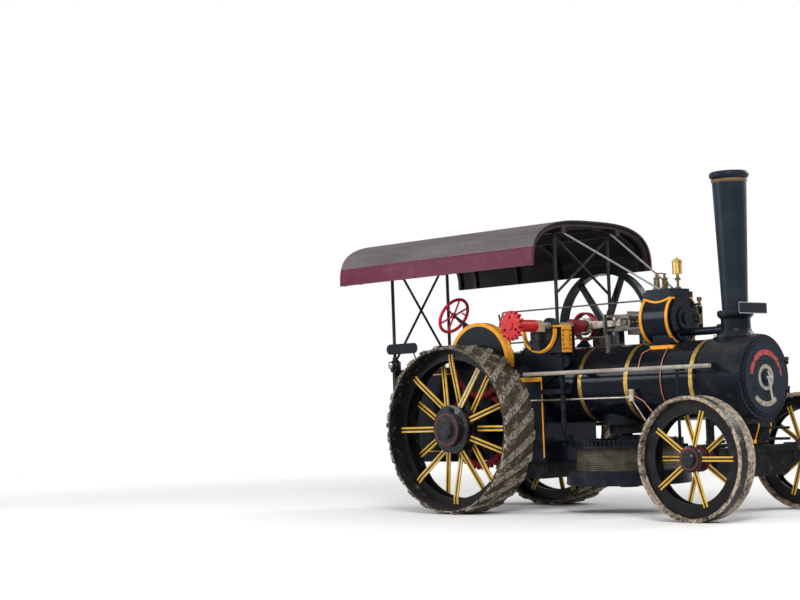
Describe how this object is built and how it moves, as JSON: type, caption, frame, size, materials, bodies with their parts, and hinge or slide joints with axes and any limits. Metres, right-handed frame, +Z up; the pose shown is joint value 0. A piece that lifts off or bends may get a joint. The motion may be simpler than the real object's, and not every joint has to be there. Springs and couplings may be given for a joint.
{
  "type": "steam traction engine",
  "caption": "Ploughing traction engine with a horizontal boiler, tall chimney, canopy, spoked steel wheels, flywheel and a winding drum under the boiler.",
  "frame": {"origin": "on the ground under the middle of the engine's length and width", "axes": "+X to the chimney end, +Y to the flywheel side, +Z up"},
  "size_m": [5.695, 2.26, 3.533],
  "materials": {
    "boiler_black": "gloss black paint with a blue cast",
    "band_brass": "dulled brass",
    "dark_iron": "dark worn iron",
    "smokebox_black": "matt heat-proof black",
    "door_black": "satin black paint",
    "fitting_brass": "polished brass",
    "plate_black": "gloss black paint",
    "motion_steel": "bright machined steel",
    "bearing_tan": "tan paint",
    "gear_crimson": "crimson paint with grease",
    "steering_grey": "pale grey paint",
    "wheel_crimson": "crimson paint",
    "pipe_copper": "dull copper",
    "canopy_brown": "weathered canvas over boards",
    "valance_maroon": "maroon paint",
    "canopy_timber": "dark stained wood and black posts",
    "stay_grey": "grey paint",
    "clutch_red": "bright red paint",
    "flywheel_green": "dark green paint",
    "drum_blue": "dark blue-grey iron",
    "rope_olive": "greased wire rope",
    "rim_black": "black rim with worn tread",
    "spoke_yellow": "mustard yellow paint"
  },
  "bodies": {
    "chassis": {"boiler_barrel": "boiler_black", "boiler_bands": "band_brass", "firebox": "boiler_black", "ash_pan": "dark_iron", "smokebox": "smokebox_black", "chimney_saddle": "smokebox_black", "chimney": "smokebox_black", "cylinder_block": "boiler_black", "cylinder_fittings": "fitting_brass", "exhaust_pipe": "plate_black", "slide_bars": "motion_steel", "crosshead": "motion_steel", "valve_gear": "motion_steel", "hornplates": "plate_black", "crank_bearings": "bearing_tan", "horn_box": "plate_black", "gear_guard": "plate_black", "counter_shaft": "gear_crimson", "rear_axle": "gear_crimson", "tender": "plate_black", "drawbar": "dark_iron", "perch_bracket": "plate_black", "tow_fork": "dark_iron", "drum_stud": "plate_black", "drive_shaft": "motion_steel", "steering_shaft": "steering_grey", "steering_wheel": "wheel_crimson", "feed_pipe": "pipe_copper", "controls": "motion_steel", "canopy_roof": "canopy_brown", "canopy_valance": "valance_maroon", "canopy_frame": "canopy_timber", "canopy_stays": "stay_grey"},
    "front_axle": {"front_axle": "dark_iron"},
    "front_wheel_right": {"front_rim_right": "rim_black", "front_spokes_right": "spoke_yellow"},
    "front_wheel_left": {"front_rim_left": "rim_black", "front_spokes_left": "spoke_yellow"},
    "rear_wheel_right": {"rear_rim_right": "rim_black", "rear_spokes_right": "spoke_yellow"},
    "rear_wheel_left": {"rear_rim_left": "rim_black", "rear_spokes_left": "spoke_yellow"},
    "crank": {"crankshaft": "motion_steel", "clutch_gear": "clutch_red", "flywheel": "flywheel_green"},
    "rod": {"connecting_rod": "motion_steel"},
    "drum": {"winding_drum": "drum_blue", "winding_rope": "rope_olive"},
    "smokebox_door": {"smokebox_door": "door_black"},
    "fire_door": {"fire_door": "dark_iron"}
  },
  "joints": [
    {"name": "rear_wheel_right_spin", "type": "hinge", "parent": "chassis", "child": "rear_wheel_right", "pos_m": [-1.1395, -0.83, 0.95], "axis": [0, 1, 0], "continuous": true},
    {"name": "rear_wheel_left_spin", "type": "hinge", "parent": "chassis", "child": "rear_wheel_left", "pos_m": [-1.1395, 0.83, 0.95], "axis": [0, 1, 0], "continuous": true},
    {"name": "steer", "type": "hinge", "parent": "chassis", "child": "front_axle", "pos_m": [2.2305, 0, 0.7], "axis": [0, 0, 1], "range_deg": [-25, 25]},
    {"name": "front_wheel_right_spin", "type": "hinge", "parent": "front_axle", "child": "front_wheel_right", "pos_m": [2.2305, -0.985, 0.617], "axis": [0, 1, 0], "continuous": true},
    {"name": "front_wheel_left_spin", "type": "hinge", "parent": "front_axle", "child": "front_wheel_left", "pos_m": [2.2305, 0.985, 0.617], "axis": [0, 1, 0], "continuous": true},
    {"name": "crank_spin", "type": "hinge", "parent": "chassis", "child": "crank", "pos_m": [-0.0595, 0, 2.055], "axis": [0, 1, 0], "continuous": true},
    {"name": "rod_swing", "type": "hinge", "parent": "crank", "child": "rod", "pos_m": [0.0905, 0, 2.055], "axis": [0, 1, 0], "continuous": true},
    {"name": "drum_spin", "type": "hinge", "parent": "chassis", "child": "drum", "pos_m": [0.6105, 0, 0.55], "axis": [0, 0, 1], "continuous": true},
    {"name": "smokebox_door_swing", "type": "hinge", "parent": "chassis", "child": "smokebox_door", "pos_m": [2.4138, 0.414, 1.394], "axis": [0, 0, 1], "range_deg": [0, 100]},
    {"name": "fire_door_swing", "type": "hinge", "parent": "chassis", "child": "fire_door", "pos_m": [-1.0215, -0.21, 1.284], "axis": [0, 0, 1], "range_deg": [0, 110]}
  ],
  "couplings": [
    {"joint": "rod_swing", "follows": "crank_spin", "ratio": -1}
  ]
}
